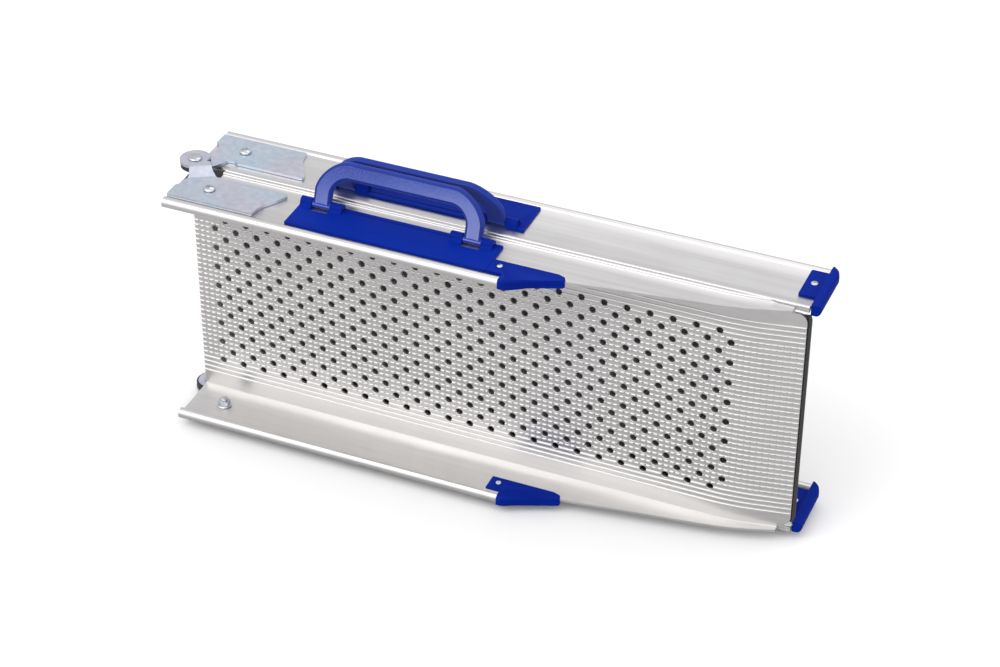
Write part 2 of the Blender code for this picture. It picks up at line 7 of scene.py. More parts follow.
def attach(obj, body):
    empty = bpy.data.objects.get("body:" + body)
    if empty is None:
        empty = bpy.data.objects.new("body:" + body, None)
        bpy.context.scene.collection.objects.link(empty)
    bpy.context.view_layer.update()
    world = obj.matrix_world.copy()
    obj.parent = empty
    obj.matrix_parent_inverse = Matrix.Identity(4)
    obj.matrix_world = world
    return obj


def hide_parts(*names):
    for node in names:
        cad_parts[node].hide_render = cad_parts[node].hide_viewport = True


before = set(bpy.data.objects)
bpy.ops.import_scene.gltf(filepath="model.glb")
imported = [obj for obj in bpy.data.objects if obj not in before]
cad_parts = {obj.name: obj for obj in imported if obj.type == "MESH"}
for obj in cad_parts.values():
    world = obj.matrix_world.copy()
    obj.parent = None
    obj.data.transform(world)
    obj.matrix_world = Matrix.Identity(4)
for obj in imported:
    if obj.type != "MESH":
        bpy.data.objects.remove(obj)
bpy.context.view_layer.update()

MM = 0.001
ZC = 123.5
MID_X = 272.65

X0 = 0.3
LIP_X = 549.5
LOW_X = 550.0
TOE_X = 521.0
DECK_V, DECK_T = 9.5, 2.5
WALL_IN, WEB_OUT = 111.0, 113.3
BEAD_OUT = 115.6
BEAD_V, BEAD_Z, BEAD_R = 58.0, 110.9, 4.6
GAP = 0.3
BEND_X0, BEND_X1, BEND_SLOPE = 480.0, 520.0, 0.19
TAPER_X, TAPER_V, TAPER_SLOPE = 357.0, 39.9, 0.1427
KERB_END_X = 307.0
EAR_R = 13.5
PLATE_Z0, PLATE_Z1 = 113.6, 116.1
EAR_Z0, EAR_Z1 = 118.7, 121.2
EAR_R_IN = 11.5
WASHER_Z0, WASHER_Z1, WASHER_R = 116.4, 118.4, 13.1
REC_LO, REC_HI = 13.5, 53.2
BOLT_X, BOLT_V = 31.0, 33.0
HANDLE_X, HANDLE_V, HANDLE_Z = 198.5, 18.5, 117.2
LEAN = 20.0
SHIFT = {"upper": 0.0, "lower": 6.0}


def W(half, x, v, z):
    return Vector((x - MID_X, -v if half == "upper" else v, ZC + z)) * MM


coll = bpy.data.collections.new("looks")
bpy.context.scene.collection.children.link(coll)


# ---------------------------------------------------------------- materials
def nodes_of(name):
    m = bpy.data.materials.new(name)
    m.use_nodes = True
    nt = m.node_tree
    b = nt.nodes.get("Principled BSDF")
    if b is None:
        nt.nodes.clear()
        out = nt.nodes.new("ShaderNodeOutputMaterial")
        b = nt.nodes.new("ShaderNodeBsdfPrincipled")
        nt.links.new(b.outputs[0], out.inputs[0])
    return m, nt, b


def coords(nt, scale, kind="Object"):
    tc = nt.nodes.new("ShaderNodeTexCoord")
    mp = nt.nodes.new("ShaderNodeMapping")
    mp.inputs["Scale"].default_value = scale
    nt.links.new(tc.outputs[kind], mp.inputs["Vector"])
    return mp.outputs["Vector"]


def noise(nt, vec, scale, detail=3.0, rough=0.5):
    n = nt.nodes.new("ShaderNodeTexNoise")
    n.inputs["Scale"].default_value = scale
    n.inputs["Detail"].default_value = detail
    n.inputs["Roughness"].default_value = rough
    nt.links.new(vec, n.inputs["Vector"])
    return n.outputs["Fac"]


def ramp(nt, fac, stops):
    r = nt.nodes.new("ShaderNodeValToRGB")
    el = r.color_ramp.elements
    while len(el) < len(stops):
        el.new(0.5)
    for e, (p, c) in zip(el, stops):
        e.position = p
        e.color = (*c, 1.0) if len(c) == 3 else c
    nt.links.new(fac, r.inputs["Fac"])
    return r.outputs["Color"]


def span(nt, fac, lo, hi, a=0.0, b=1.0):
    r = nt.nodes.new("ShaderNodeMapRange")
    r.inputs["From Min"].default_value = a
    r.inputs["From Max"].default_value = b
    r.inputs["To Min"].default_value = lo
    r.inputs["To Max"].default_value = hi
    nt.links.new(fac, r.inputs["Value"])
    return r.outputs["Result"]


def bump(nt, fac, strength, dist, normal=None):
    b = nt.nodes.new("ShaderNodeBump")
    b.inputs["Strength"].default_value = strength
    b.inputs["Distance"].default_value = dist
    nt.links.new(fac, b.inputs["Height"])
    if normal is not None:
        nt.links.new(normal, b.inputs["Normal"])
    return b.outputs["Normal"]


# paler convex edges from the pointiness: a painted edge highlight
def painted_edge_highlight(nt, lo=0.50, hi=0.56):
    g = nt.nodes.new("ShaderNodeNewGeometry")
    return span(nt, g.outputs["Pointiness"], 0.0, 1.0, lo, hi)


def mix_color(nt, fac, a, b):
    m = nt.nodes.new("ShaderNodeMix")
    m.data_type = 'RGBA'
    if isinstance(fac, float):
        m.inputs["Factor"].default_value = fac
    else:
        nt.links.new(fac, m.inputs["Factor"])
    for sock, val in ((6, a), (7, b)):
        if isinstance(val, tuple):
            m.inputs[sock].default_value = (*val, 1.0)
        else:
            nt.links.new(val, m.inputs[sock])
    return m.outputs[2]


def metal(name, dark, light, rough, streak=(4, 260, 260), streak_scale=1.0,
          bump_s=0.08, aniso=0.0, blotch=0.06, metallic=1.0):
    """Drawn or rolled metal: fine streaks along X, broad uneven sheen."""
    m, nt, b = nodes_of(name)
    fine = noise(nt, coords(nt, streak), streak_scale, 4.0, 0.6)
    broad = noise(nt, coords(nt, (1, 1, 1)), 14.0, 3.0, 0.5)
    grain = noise(nt, coords(nt, (1, 1, 1)), 1400.0, 2.0, 0.5)
    col = ramp(nt, fine, [(0.30, dark), (0.70, light)])
    tint = ramp(nt, broad, [(0.3, tuple(1 - blotch for _ in range(3))), (0.7, (1, 1, 1))])
    mul = nt.nodes.new("ShaderNodeMix")
    mul.data_type = 'RGBA'
    mul.blend_type = 'MULTIPLY'
    mul.inputs["Factor"].default_value = 1.0
    nt.links.new(col, mul.inputs[6])
    nt.links.new(tint, mul.inputs[7])
    nt.links.new(mul.outputs[2], b.inputs["Base Color"])
    b.inputs["Metallic"].default_value = metallic
    add = nt.nodes.new("ShaderNodeMath")
    add.operation = 'ADD'
    nt.links.new(span(nt, fine, rough - 0.05, rough + 0.05, 0.3, 0.7), add.inputs[0])
    nt.links.new(span(nt, broad, -0.03, 0.04, 0.3, 0.7), add.inputs[1])
    nt.links.new(add.outputs[0], b.inputs["Roughness"])
    n1 = bump(nt, fine, bump_s, 0.00006)
    n2 = bump(nt, grain, bump_s * 0.8, 0.00003, n1)
    nt.links.new(n2, b.inputs["Normal"])
    if aniso:
        b.inputs["Anisotropic"].default_value = aniso
    return m


def plastic(name, dark, light, rough, grain_scale=900.0, bump_s=0.12, edge_highlight_color=None, sheen=0.0,
            coat=0.0, spec=0.5):
    """Moulded plastic: fine spark-eroded grain, slight flow marks, paler convex edges as a painted edge highlight."""
    m, nt, b = nodes_of(name)
    broad = noise(nt, coords(nt, (1, 1, 1)), 32.0, 4.0, 0.55)
    grain = noise(nt, coords(nt, (1, 1, 1)), grain_scale, 3.0, 0.6)
    base = ramp(nt, broad, [(0.32, dark), (0.68, light)])
    # painted edge highlight: convex edges are mixed towards the paler edge colour
    if edge_highlight_color is not None:
        base = mix_color(nt, painted_edge_highlight(nt, 0.515, 0.60), base, edge_highlight_color)
    nt.links.new(base, b.inputs["Base Color"])
    nt.links.new(span(nt, broad, rough - 0.05, rough + 0.07, 0.3, 0.7), b.inputs["Roughness"])
    b.inputs["Specular IOR Level"].default_value = spec
    if sheen:
        b.inputs["Sheen Weight"].default_value = sheen
        b.inputs["Sheen Roughness"].default_value = 0.5
        b.inputs["Sheen Tint"].default_value = (0.75, 0.78, 1.0, 1)
    if coat:
        b.inputs["Coat Weight"].default_value = coat
        b.inputs["Coat Roughness"].default_value = 0.2
    nt.links.new(bump(nt, grain, bump_s, 0.00004), b.inputs["Normal"])
    return m


ALU = metal("satin_anodised_aluminium", (0.66, 0.648, 0.640), (0.715, 0.703, 0.696), 0.34,
            bump_s=0.03, blotch=0.03)
# a darkened aluminium: painted shade for the faces inside the cavity between the halves
CAVITY_SHADE_ALU = metal("aluminium_painted_cavity_shade", (0.20, 0.20, 0.21), (0.33, 0.33, 0.34), 0.58,
             streak=(4, 180, 180), metallic=0.7)
ZINC = metal("zinc_plated_steel", (0.56, 0.62, 0.70), (0.70, 0.73, 0.78), 0.36,
             streak=(60, 60, 60), streak_scale=3.0, blotch=0.08)
STEEL = metal("bright_plated_steel", (0.46, 0.49, 0.53), (0.72, 0.74, 0.77), 0.16,
              streak=(300, 300, 300), bump_s=0.05)
BLUE = plastic("blue_moulded_plastic", (0.0010, 0.0110, 0.190), (0.0014, 0.0150, 0.235), 0.40,
               edge_highlight_color=(0.0020, 0.0200, 0.270), spec=0.035)
HANDLE = plastic("blue_handle_plastic", (0.003, 0.018, 0.19), (0.006, 0.026, 0.25), 0.50,
                 edge_highlight_color=(0.02, 0.07, 0.50), sheen=0.08, bump_s=0.2, spec=0.2)
BLACK = plastic("black_moulded_plastic", (0.005, 0.005, 0.006), (0.012, 0.012, 0.013), 0.45,
                edge_highlight_color=(0.04, 0.04, 0.04), spec=0.3)
RUBBER = plastic("black_rubber", (0.022, 0.022, 0.023), (0.040, 0.039, 0.039), 0.70,
                 grain_scale=500.0, bump_s=0.35, edge_highlight_color=(0.07, 0.07, 0.07), spec=0.35)


# zinc passivation: a faint drifting blue to pink sheen
def tint_zinc():
    nt = ZINC.node_tree
    b = nt.nodes.get("Principled BSDF") or [n for n in nt.nodes if n.type == 'BSDF_PRINCIPLED'][0]
    src = b.inputs["Base Color"].links[0].from_socket
    drift = noise(nt, coords(nt, (1, 1, 1)), 26.0, 2.0, 0.5)
    hue = ramp(nt, drift, [(0.30, (0.88, 0.97, 1.0)), (0.5, (0.95, 0.96, 1.0)), (0.62, (1.0, 0.92, 0.97)),
                           (0.78, (0.98, 0.97, 0.92))])
    mul = nt.nodes.new("ShaderNodeMix")
    mul.data_type = 'RGBA'
    mul.blend_type = 'MULTIPLY'
    mul.inputs["Factor"].default_value = 1.0
    nt.links.new(src, mul.inputs[6])
    nt.links.new(hue, mul.inputs[7])
    nt.links.new(mul.outputs[2], b.inputs["Base Color"])


tint_zinc()


# ---------------------------------------------------------------- mesh helpers
def mesh_object(name, bm):
    bmesh.ops.remove_doubles(bm, verts=bm.verts, dist=1e-7)
    bmesh.ops.recalc_face_normals(bm, faces=bm.faces)
    me = bpy.data.meshes.new(name)
    bm.to_mesh(me)
    bm.free()
    ob = bpy.data.objects.new(name, me)
    coll.objects.link(ob)
    return ob


def apply_all(ob):
    dg = bpy.context.evaluated_depsgraph_get()
    me = bpy.data.meshes.new_from_object(ob.evaluated_get(dg))
    old = ob.data
    ob.modifiers.clear()
    ob.data = me
    me.name = ob.name
    bpy.data.meshes.remove(old)


def boolean(ob, tool, op='DIFFERENCE', solver='MANIFOLD'):
    """Applies a Boolean at once and throws the tool away."""
    if not isinstance(tool, bpy.types.Object):
        tool = mesh_object("tool", tool)
    m = ob.modifiers.new("b", 'BOOLEAN')
    m.operation, m.solver, m.object = op, solver, tool
    apply_all(ob)
    me = tool.data
    bpy.data.objects.remove(tool)
    bpy.data.meshes.remove(me)
    return ob


def finish_piece(ob, body, mat, replaced, bevel=None, seg=2, angle=30.0, smooth=32.0):
    """Bevels the hard edges, welds, shades and hands the piece to the frame."""
    if bevel:
        bm = bmesh.new()
        bm.from_mesh(ob.data)
        bmesh.ops.remove_doubles(bm, verts=bm.verts, dist=2e-6)
        bmesh.ops.dissolve_limit(bm, angle_limit=radians(0.6), verts=bm.verts, edges=bm.edges,
                                 delimit=set())
        bm.to_mesh(ob.data)
        bm.free()
        m = ob.modifiers.new("bevel", 'BEVEL')
        m.width = bevel * MM
        m.segments = seg
        m.limit_method = 'ANGLE'
        m.angle_limit = radians(angle)
        m.use_clamp_overlap = True
        m.harden_normals = False
        apply_all(ob)
    bm = bmesh.new()
    bm.from_mesh(ob.data)
    bmesh.ops.remove_doubles(bm, verts=bm.verts, dist=1e-6)
    bmesh.ops.dissolve_degenerate(bm, dist=1e-6, edges=bm.edges)
    bmesh.ops.recalc_face_normals(bm, faces=bm.faces)
    bm.to_mesh(ob.data)
    bm.free()
    ob.data.materials.clear()
    ob.data.materials.append(mat)
    ob.data.shade_smooth()
    ob.data.set_sharp_from_angle(angle=radians(smooth))
    if bevel:
        m = ob.modifiers.new("weighted", 'WEIGHTED_NORMAL')
        m.mode = 'FACE_AREA'
        m.weight = 80
        m.keep_sharp = True
        apply_all(ob)
    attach(ob, body)
    if replaced:
        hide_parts(*([replaced] if isinstance(replaced, str) else replaced))
    return ob


def prism(points, shift):
    """A closed outline of world points, extruded by a world vector."""
    bm = bmesh.new()
    face = bm.faces.new([bm.verts.new(p) for p in points])
    ext = bmesh.ops.extrude_face_region(bm, geom=[face])
    moved = [g for g in ext["geom"] if isinstance(g, bmesh.types.BMVert)]
    bmesh.ops.translate(bm, verts=moved, vec=shift)
    bmesh.ops.recalc_face_normals(bm, faces=bm.faces)
    return bm


def prism_xv(half, pts, z0, z1):
    return prism([W(half, x, v, z0) for x, v in pts], Vector((0, 0, z1 - z0)) * MM)


def prism_vz(half, pts, x0, x1):
    return prism([W(half, x0, v, z) for v, z in pts], Vector((x1 - x0, 0, 0)) * MM)


def prism_xz(half, pts, v0, v1):
    s = -1 if half == "upper" else 1
    return prism([W(half, x, v0, z) for x, z in pts], Vector((0, s * (v1 - v0), 0)) * MM)


def boxm(half, x0, x1, v0, v1, z0, z1):
    return prism_xv(half, [(x0, v0), (x1, v0), (x1, v1), (x0, v1)], z0, z1)


def cyl(centre, r, length, axis="Z", seg=48, r2=None):
    bm = bmesh.new()
    rot = {"Z": Matrix.Identity(4), "X": Matrix.Rotation(pi / 2, 4, 'Y'),
           "Y": Matrix.Rotation(pi / 2, 4, 'X')}[axis]
    bmesh.ops.create_cone(bm, cap_ends=True, segments=seg, radius1=r * MM,
                          radius2=(r if r2 is None else r2) * MM, depth=length * MM,
                          matrix=Matrix.Translation(centre) @ rot)
    return bm


def lathe(profile, loc, flip=1, seg=64):
    """A closed (r, z) profile spun about a vertical axis through loc."""
    bm = bmesh.new()
    verts = [bm.verts.new(Vector((r, 0, z * flip)) * MM) for r, z in profile]
    edges = [bm.edges.new((verts[i], verts[i + 1])) for i in range(len(verts) - 1)]
    bmesh.ops.spin(bm, geom=verts + edges, cent=(0, 0, 0), axis=(0, 0, 1),
                   angle=2 * pi, steps=seg, use_merge=True)
    bmesh.ops.remove_doubles(bm, verts=bm.verts, dist=1e-6)
    bmesh.ops.translate(bm, verts=bm.verts, vec=loc)
    return bm


def arc(cx, cy, r, a0, a1, n):
    return [(cx + r * cos(radians(a0 + (a1 - a0) * i / n)),
             cy + r * sin(radians(a0 + (a1 - a0) * i / n))) for i in range(n + 1)]


def rounded(pts, radii, n=5):
    """Rounds the corners of a closed 2-D outline."""
    out = []
    k = len(pts)
    for i, p in enumerate(pts):
        r = radii[i] if isinstance(radii, (list, tuple)) else radii
        a, b = Vector(pts[i - 1]), Vector(pts[(i + 1) % k])
        c = Vector(p)
        u, w = (a - c), (b - c)
        lu, lw = u.length, w.length
        u.normalize()
        w.normalize()
        cosang = max(-1, min(1, u.dot(w)))
        half_t = sqrt(max(1e-9, (1 - cosang) / (1 + cosang + 1e-12)))
        if r <= 0 or cosang < -0.9995:
            out.append(tuple(c))
            continue
        d = r / half_t
        d = min(d, 0.49 * lu, 0.49 * lw)
        r2 = d * half_t
        p0, p1 = c + u * d, c + w * d
        bis = (u + w).normalized()
        centre = c + bis * sqrt(d * d + r2 * r2)
        v0, v1 = p0 - centre, p1 - centre
        for j in range(n + 1):
            t = j / n
            q = v0.lerp(v1, t)
            # spherical interpolation on the arc
            dot = max(-1, min(1, v0.normalized().dot(v1.normalized())))
            om = acos(dot)
            if om < 1e-6:
                q = v0
            else:
                q = v0 * (sin((1 - t) * om) / sin(om)) + v1 * (sin(t * om) / sin(om))
            out.append(tuple(centre + q))
    return out




# ---------------------------------------------------------------- channels
def bend(x):
    if x <= BEND_X0:
        return 0.0
    if x <= BEND_X1:
        return BEND_SLOPE * (x - BEND_X0) ** 2 / (2 * (BEND_X1 - BEND_X0))
    return BEND_SLOPE * (BEND_X1 - BEND_X0) / 2 + BEND_SLOPE * (x - BEND_X1)


UNDER = DECK_V - DECK_T


def wall_section():
    """(v, z) points from the deck's underside, round the wall and beads, to the deck."""
    pts = [(UNDER, 108.9), (UNDER - 0.3, 110.2), (UNDER - 1.2, WALL_IN)]
    pts += [(4.4, WALL_IN), (4.2, 110.3), (3.4, 109.8), (1.2, 109.8), (0.5, 110.1), (GAP, 110.7)]
    # two fine grooves along the inner face of the underside bead
    pts += [(GAP, 111.7), (0.75, 111.95), (0.75, 112.25), (GAP, 112.5),
            (GAP, 113.15), (0.75, 113.4), (0.75, 113.7), (GAP, 113.95)]
    pts += arc(1.5, 114.4, 1.2, 180, 90, 6)
    pts += arc(2.9, 114.4, 1.2, 90, 0, 6)
    pts += [(4.15, 113.85), (4.45, 113.45), (5.0, WEB_OUT), (12.9, WEB_OUT)]
    a0 = 180 - degrees(asin((WEB_OUT - BEAD_Z) / BEAD_R))
    pts += [(BEAD_V + BEAD_R * cos(radians(a0)) - 0.9, WEB_OUT)]
    pts += arc(BEAD_V, BEAD_Z, BEAD_R, a0 - 6, -176, 40)
    pts += [(BEAD_V - BEAD_R - 0.9, WALL_IN), (DECK_V + 1.0, WALL_IN), (DECK_V + 0.35, 110.75),
            (DECK_V, 110.1), (DECK_V, 109.2)]
    return pts


def full_section():
    h = wall_section()
    return h + [(v, -z) for v, z in reversed(h)]


NOTCH_PITCH = 5.276


def rib_bars(x1):
    """39 anti-slip ribs; the inner 31 are crossed by rolled notches."""
    bm = bmesh.new()
    prof = [(-1.0, -0.5), (-1.0, 0.0)] + [(1.0 * cos(radians(a)), 1.15 * sin(radians(a)))
                                          for a in (153, 132, 111, 90, 69, 48, 27)] + [(1.0, 0.0), (1.0, -0.5)]
    for k in range(-19, 20):
        z = 5.0 * k
        st = [(X0, 1.0)]
        if abs(k) <= 15:
            n = 1
            while n * NOTCH_PITCH + 1.3 < x1:
                xn = n * NOTCH_PITCH
                low = 0.16 if xn < 490 else 0.5
                hw = 0.62 if xn < 490 else 0.40
                st += [(xn - hw - 0.5, 1.0), (xn - hw, low), (xn + hw, low), (xn + hw + 0.5, 1.0)]
                n += 1
        st.append((x1, 1.0))
        rings = [[bm.verts.new((x, DECK_V + (h if h <= 0 else h * f), z + dz)) for dz, h in prof]
                 for x, f in st]
        m = len(prof)
        for a, b in zip(rings, rings[1:]):
            for i in range(m):
                bm.faces.new((a[i], a[(i + 1) % m], b[(i + 1) % m], b[i]))
        bm.faces.new(list(reversed(rings[0])))
        bm.faces.new(rings[-1])
    bmesh.ops.recalc_face_normals(bm, faces=bm.faces)
    return bm


def hole_punches(x_first, seg=28):
    """408 round punches, with a slight lead-in at the running surface."""
    bm = bmesh.new()
    prof = [(3.02, 4.0), (3.02, 9.05), (3.38, 9.56), (3.38, 12.0)]
    for i in range(48):
        for j in range(-2, 15):
            if (i - j) % 2:
                continue
            cx, cz = x_first + 10.0 * i, 10.0 * (6 - j)
            rings = []
            for r, v in prof:
                rings.append([bm.verts.new((cx + r * cos(2 * pi * a / seg), v, cz + r * sin(2 * pi * a / seg)))
                              for a in range(seg)])
            for a, b in zip(rings, rings[1:]):
                for q in range(seg):
                    bm.faces.new((a[q], a[(q + 1) % seg], b[(q + 1) % seg], b[q]))
            bm.faces.new(list(reversed(rings[0])))
            bm.faces.new(rings[-1])
    bmesh.ops.recalc_face_normals(bm, faces=bm.faces)
    return bm


def raw_prism(pts, x0, x1):
    """(v, z) outline extruded along x, in plain (x, v, z) millimetres."""
    bm = bmesh.new()
    a = [bm.verts.new((x0, v, z)) for v, z in pts]
    b = [bm.verts.new((x1, v, z)) for v, z in pts]
    bm.faces.new(a)
    bm.faces.new(list(reversed(b)))
    n = len(pts)
    for i in range(n):
        bm.faces.new((a[i], b[i], b[(i + 1) % n], a[(i + 1) % n]))
    bmesh.ops.recalc_face_normals(bm, faces=bm.faces)
    return bm


def raw_box(x0, x1, v0, v1, z0, z1):
    return raw_prism([(v0, z0), (v1, z0), (v1, z1), (v0, z1)], x0, x1)


def raw_outline(pts, axis, c0, c1):
    """An (x, v) outline along z, or an (x, z) outline along v, in plain millimetres."""
    bm = bmesh.new()
    def place(p, c):
        return (p[0], p[1], c) if axis == "z" else (p[0], c, p[1])
    a = [bm.verts.new(place(p, c0)) for p in pts]
    b = [bm.verts.new(place(p, c1)) for p in pts]
    bm.faces.new(a)
    bm.faces.new(list(reversed(b)))
    n = len(pts)
    for i in range(n):
        bm.faces.new((a[i], b[i], b[(i + 1) % n], a[(i + 1) % n]))
    bmesh.ops.recalc_face_normals(bm, faces=bm.faces)
    return bm


def raw_rod(x, v, z, r, length, seg=48):
    bm = bmesh.new()
    bmesh.ops.create_cone(bm, cap_ends=True, segments=seg, radius1=r, radius2=r, depth=length,
                          matrix=Matrix.Translation((x, v, z)))
    return bm


BEND_STATIONS = [BEND_X0 + 4.0 * i for i in range(0, 11)]


def bend_mesh(ob):
    bm = bmesh.new()
    bm.from_mesh(ob.data)
    for x in BEND_STATIONS:
        near = [f for f in bm.faces if min(v.co.x for v in f.verts) < x < max(v.co.x for v in f.verts)]
        geom = set(near)
        for f in near:
            geom.update(f.edges)
            geom.update(f.verts)
        bmesh.ops.bisect_plane(bm, geom=list(geom), plane_co=(x, 0, 0), plane_no=(1, 0, 0), dist=1e-4)
    bmesh.ops.triangulate(bm, faces=[f for f in bm.faces if len(f.verts) > 4
                                     and max(v.co.x for v in f.verts) > BEND_X0 - 0.01])
    for v in bm.verts:
        v.co.y -= bend(v.co.x)
    bm.to_mesh(ob.data)
    bm.free()


def to_place(ob, half):
    """Plain (x, v, z) millimetres to the frame."""
    s = -1 if half == "upper" else 1
    bm = bmesh.new()
    bm.from_mesh(ob.data)
    for v in bm.verts:
        x, h, z = v.co
        v.co = ((x - MID_X) * MM, s * h * MM, (ZC + z) * MM)
    bmesh.ops.recalc_face_normals(bm, faces=bm.faces)
    bm.to_mesh(ob.data)
    bm.free()


def kerb_line(x):
    return TAPER_V - TAPER_SLOPE * (x - TAPER_X)


def common_cuts(ob):
    for s in (1, -1):
        boolean(ob, raw_box(-5, 28.4, -3, 6.6, *sorted((s * 108.8, s * 122))))
        boolean(ob, raw_box(-5, 28.4, -3, 9.2, *sorted((s * 110.95, s * 122))))
        boolean(ob, raw_box(-5, 28.4, -3, 17.8, *sorted((s * (WEB_OUT + 0.02), s * 122))))
        boolean(ob, raw_rod(BOLT_X, BOLT_V, s * 112, 3.3, 16))


def upper_channel():
    ob = mesh_object("upper_channel_extrusion", raw_prism(full_section(), X0, LIP_X))
    boolean(ob, rib_bars(LIP_X), 'UNION')
    boolean(ob, hole_punches(20.0))
    bend_mesh(ob)
    cut = [(KERB_END_X, 70), (KERB_END_X, 52.0), (TAPER_X, TAPER_V)]
    cut += [(x, kerb_line(x) - bend(x)) for x in BEND_STATIONS]
    cut += [(LIP_X + 3, kerb_line(LIP_X + 3) - bend(LIP_X + 3)), (LIP_X + 3, 70)]
    boolean(ob, raw_outline(cut, "z", -125, 125))
    for s in (1, -1):
        z0, z1 = sorted((s * 108.4, s * 122))
        boolean(ob, raw_box(BEND_X0 - 6, LIP_X + 5, -14, GAP, z0, z1))
        boolean(ob, raw_rod(301.5, 43.5, s * 112, 2.3, 8))
        r = 9.0
        corner = [(LIP_X + 2, s * 99.4), (LIP_X + 2, s * 125), (LIP_X - 13.0, s * 125),
                  (LIP_X - 10.5, s * 108.4)]
        corner += [(x, s * z) for x, z in arc(LIP_X - r, 99.4, r, 84, 0, 12)[1:]]
        boolean(ob, raw_outline(corner, "v", -8, 20))
    common_cuts(ob)
    to_place(ob, "upper")
    finish_piece(ob, "upper_half", ALU, "upper_channel", smooth=24)
    return ob


def lower_channel():
    # straight walls first, then the perforated deck with its bent toe
    ob = mesh_object("lower_channel_extrusion", raw_prism(full_section(), X0, LOW_X))
    boolean(ob, raw_box(BEND_X0 + 4, LOW_X + 4, 5.6, 12.0, -110.99, 110.99))
    boolean(ob, raw_box(-5, LOW_X + 4, 6.0, 9.51, -106.0, 106.0))
    deck = mesh_object("deck", raw_box(X0, TOE_X, UNDER, DECK_V, -108.3, 108.3))
    boolean(deck, rib_bars(TOE_X), 'UNION')
    boolean(deck, hole_punches(15.0))
    bend_mesh(deck)
    boolean(ob, deck, 'UNION')
    for s in (1, -1):
        boolean(ob, raw_rod(543.5, 34.0, s * 112, 2.3, 8))
    common_cuts(ob)
    to_place(ob, "lower")
    finish_piece(ob, "lower_half", ALU, "lower_channel", smooth=24)
    return ob


def paint_cavity_shade(ob, half):
    """The hidden undersides and the faces between the halves get a darkened aluminium: painted shade for the closed
    cavity between the decks.
    """
    ob.data.materials.append(CAVITY_SHADE_ALU)
    side = 1 if half == "upper" else -1
    for p in ob.data.polygons:
        c = p.center / MM
        v = c.y * -side
        if abs(c.z - ZC) < 109.5 and v < DECK_V - 0.9 and p.normal.y * side > 0.8:
            p.material_index = 1


paint_cavity_shade(upper_channel(), "upper")
paint_cavity_shade(lower_channel(), "lower")


# ---------------------------------------------------------------- lip strip
def lip_strip():
    xa, xb = 536.0, LIP_X
    ua, ub = UNDER - bend(xa) - 0.3, UNDER - bend(xb) - 0.3
    top = DECK_V - bend(xb)
    sec = [(xa, ua), (xb + 0.3, ub), (xb + 0.3, top - 1.9), (xb + 1.25, top - 1.9), (xb + 1.3, top + 0.2),
           (xb + 1.8, top + 0.55), (xb + 2.5, top + 0.2), (xb + 2.9, top - 0.9),
           (xb + 2.9, ub - 1.6), (xb + 1.6, ub - 2.3), (xa + 0.6, ua - 2.2), (xa, ua - 1.6)]
    ob = mesh_object("lip_rubber_edge", prism_xv("upper", sec, -105.5, 105.5))
    # the strip follows the lip's rounded corners
    for s in (1, -1):
        corner = [(LIP_X + 6, s * 97.0), (LIP_X + 6, s * 125), (530, s * 125), (530, s * 106.0)]
        corner += [(x, s * z) for x, z in arc(LIP_X - 9.0, 99.4, 11.9, 75, 0, 14)]
        boolean(ob, prism_xz("upper", corner, -14, 20))
        inner = [(LIP_X + 0.3, s * 90)] + [(x, s * z) for x, z in arc(LIP_X - 9.0, 99.4, 9.3, 0, 100, 14)] \
            + [(525, s * 108.6), (525, s * 90)]
        boolean(ob, prism_xz("upper", [(x, z) for x, z in inner], UNDER - bend(LIP_X) - 0.3, 20))
    finish_piece(ob, "upper_half", RUBBER, "lip_rubber_strip", bevel=0.35, seg=2)


lip_strip()


